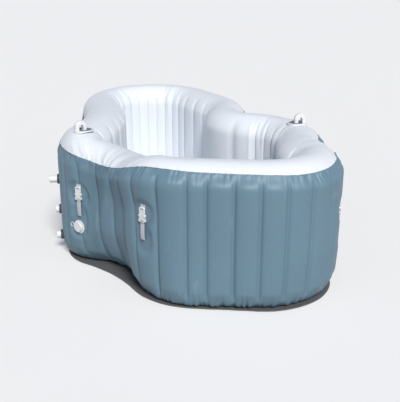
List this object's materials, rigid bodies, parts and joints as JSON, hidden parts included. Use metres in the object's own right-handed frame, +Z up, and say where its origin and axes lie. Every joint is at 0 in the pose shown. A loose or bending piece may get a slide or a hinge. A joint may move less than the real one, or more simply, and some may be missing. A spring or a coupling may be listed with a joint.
{
  "type": "inflatable hot tub",
  "caption": "Lobed inflatable hot tub with an air-filled webbed wall, round rim, pump connectors, valves, rim brackets and cover buckles.",
  "frame": {"origin": "on the ground under the middle of the bounding box", "axes": "+Z up, X along the tub's long axis with the near lobes at +X, the side lobe with the pump connectors at -Y"},
  "size_m": [2.2253, 1.3403, 0.7312],
  "materials": {
    "wall_fabric": "laminated PVC, satin, fine grain",
    "rim_fabric": "smooth PVC, soft gloss",
    "base_fabric": "dark coated sheet",
    "white_plastic": "moulded, satin",
    "blue_plastic": "moulded, satin",
    "dark_plastic": "moulded, satin",
    "webbing": "woven strap",
    "seal_rubber": "soft rubber",
    "spring_steel": "wire"
  },
  "bodies": {
    "tub": {"outer_wall": "wall_fabric", "rim_and_liner": "rim_fabric", "inner_webs": "rim_fabric", "floor_liner": "rim_fabric", "ground_sheet": "base_fabric", "air_channel": "rim_fabric", "air_connector": "white_plastic", "air_wall_plate": "blue_plastic", "air_lock_nut": "dark_plastic", "air_seal": "seal_rubber", "water_in_connector": "white_plastic", "water_in_wall_plate": "blue_plastic", "water_in_lock_nut": "dark_plastic", "water_in_seal": "seal_rubber", "water_in_inner_plate": "white_plastic", "water_out_connector": "white_plastic", "water_out_wall_plate": "blue_plastic", "water_out_lock_nut": "dark_plastic", "water_out_seal": "seal_rubber", "water_out_inner_plate": "white_plastic", "air_feed_hose": "seal_rubber", "inflation_valve_body": "white_plastic", "inflation_valve_spring": "spring_steel", "inflation_valve_seal": "seal_rubber", "inflation_valve_tether": "white_plastic", "drain_valve_body": "white_plastic", "drain_valve_seal": "seal_rubber", "left_bracket_base": "white_plastic", "left_bracket_insert": "blue_plastic", "left_bracket_loop": "white_plastic", "right_bracket_base": "white_plastic", "right_bracket_insert": "blue_plastic", "right_bracket_loop": "white_plastic", "strap_patches": "wall_fabric", "strap_anchors": "webbing", "side_left_buckle_tongue": "white_plastic", "near_left_buckle_tongue": "white_plastic", "near_right_buckle_tongue": "white_plastic", "side_right_buckle_tongue": "white_plastic", "far_right_buckle_tongue": "white_plastic", "far_left_buckle_tongue": "white_plastic"},
    "side_left_buckle": {"side_left_buckle_body": "white_plastic", "side_left_strap_tail": "webbing"},
    "near_left_buckle": {"near_left_buckle_body": "white_plastic", "near_left_strap_tail": "webbing"},
    "near_right_buckle": {"near_right_buckle_body": "white_plastic", "near_right_strap_tail": "webbing"},
    "side_right_buckle": {"side_right_buckle_body": "white_plastic", "side_right_strap_tail": "webbing"},
    "far_right_buckle": {"far_right_buckle_body": "white_plastic", "far_right_strap_tail": "webbing"},
    "far_left_buckle": {"far_left_buckle_body": "white_plastic", "far_left_strap_tail": "webbing"},
    "inflation_cap": {"inflation_valve_cap": "white_plastic"},
    "inflation_stem": {"inflation_valve_stem": "white_plastic"},
    "drain_cap": {"drain_valve_cap": "white_plastic"},
    "water_in_screen": {"water_in_screen": "white_plastic"},
    "water_out_screen": {"water_out_screen": "white_plastic"}
  },
  "joints": [
    {"name": "side_left_buckle_release", "type": "slide", "parent": "tub", "child": "side_left_buckle", "axis": [0, 0, -1], "range_m": [0, 0.036]},
    {"name": "near_left_buckle_release", "type": "slide", "parent": "tub", "child": "near_left_buckle", "axis": [0, 0, -1], "range_m": [0, 0.036]},
    {"name": "near_right_buckle_release", "type": "slide", "parent": "tub", "child": "near_right_buckle", "axis": [0, 0, -1], "range_m": [0, 0.036]},
    {"name": "side_right_buckle_release", "type": "slide", "parent": "tub", "child": "side_right_buckle", "axis": [0, 0, -1], "range_m": [0, 0.036]},
    {"name": "far_right_buckle_release", "type": "slide", "parent": "tub", "child": "far_right_buckle", "axis": [0, 0, -1], "range_m": [0, 0.036]},
    {"name": "far_left_buckle_release", "type": "slide", "parent": "tub", "child": "far_left_buckle", "axis": [0, 0, -1], "range_m": [0, 0.036]},
    {"name": "inflation_cap_off", "type": "slide", "parent": "tub", "child": "inflation_cap", "axis": [0.4617, -0.887, 0], "range_m": [0, 0.03]},
    {"name": "inflation_stem_press", "type": "slide", "parent": "tub", "child": "inflation_stem", "axis": [-0.4617, 0.887, 0], "range_m": [0, 0.003], "stiffness_N_per_m": 400},
    {"name": "drain_cap_off", "type": "slide", "parent": "tub", "child": "drain_cap", "axis": [-0.9613, -0.2756, 0], "range_m": [0, 0.03]},
    {"name": "water_in_screen_off", "type": "slide", "parent": "tub", "child": "water_in_screen", "axis": [0.3746, 0.9272, 0], "range_m": [0, 0.04]},
    {"name": "water_out_screen_off", "type": "slide", "parent": "tub", "child": "water_out_screen", "axis": [0.2924, 0.9563, 0], "range_m": [0, 0.04]}
  ]
}
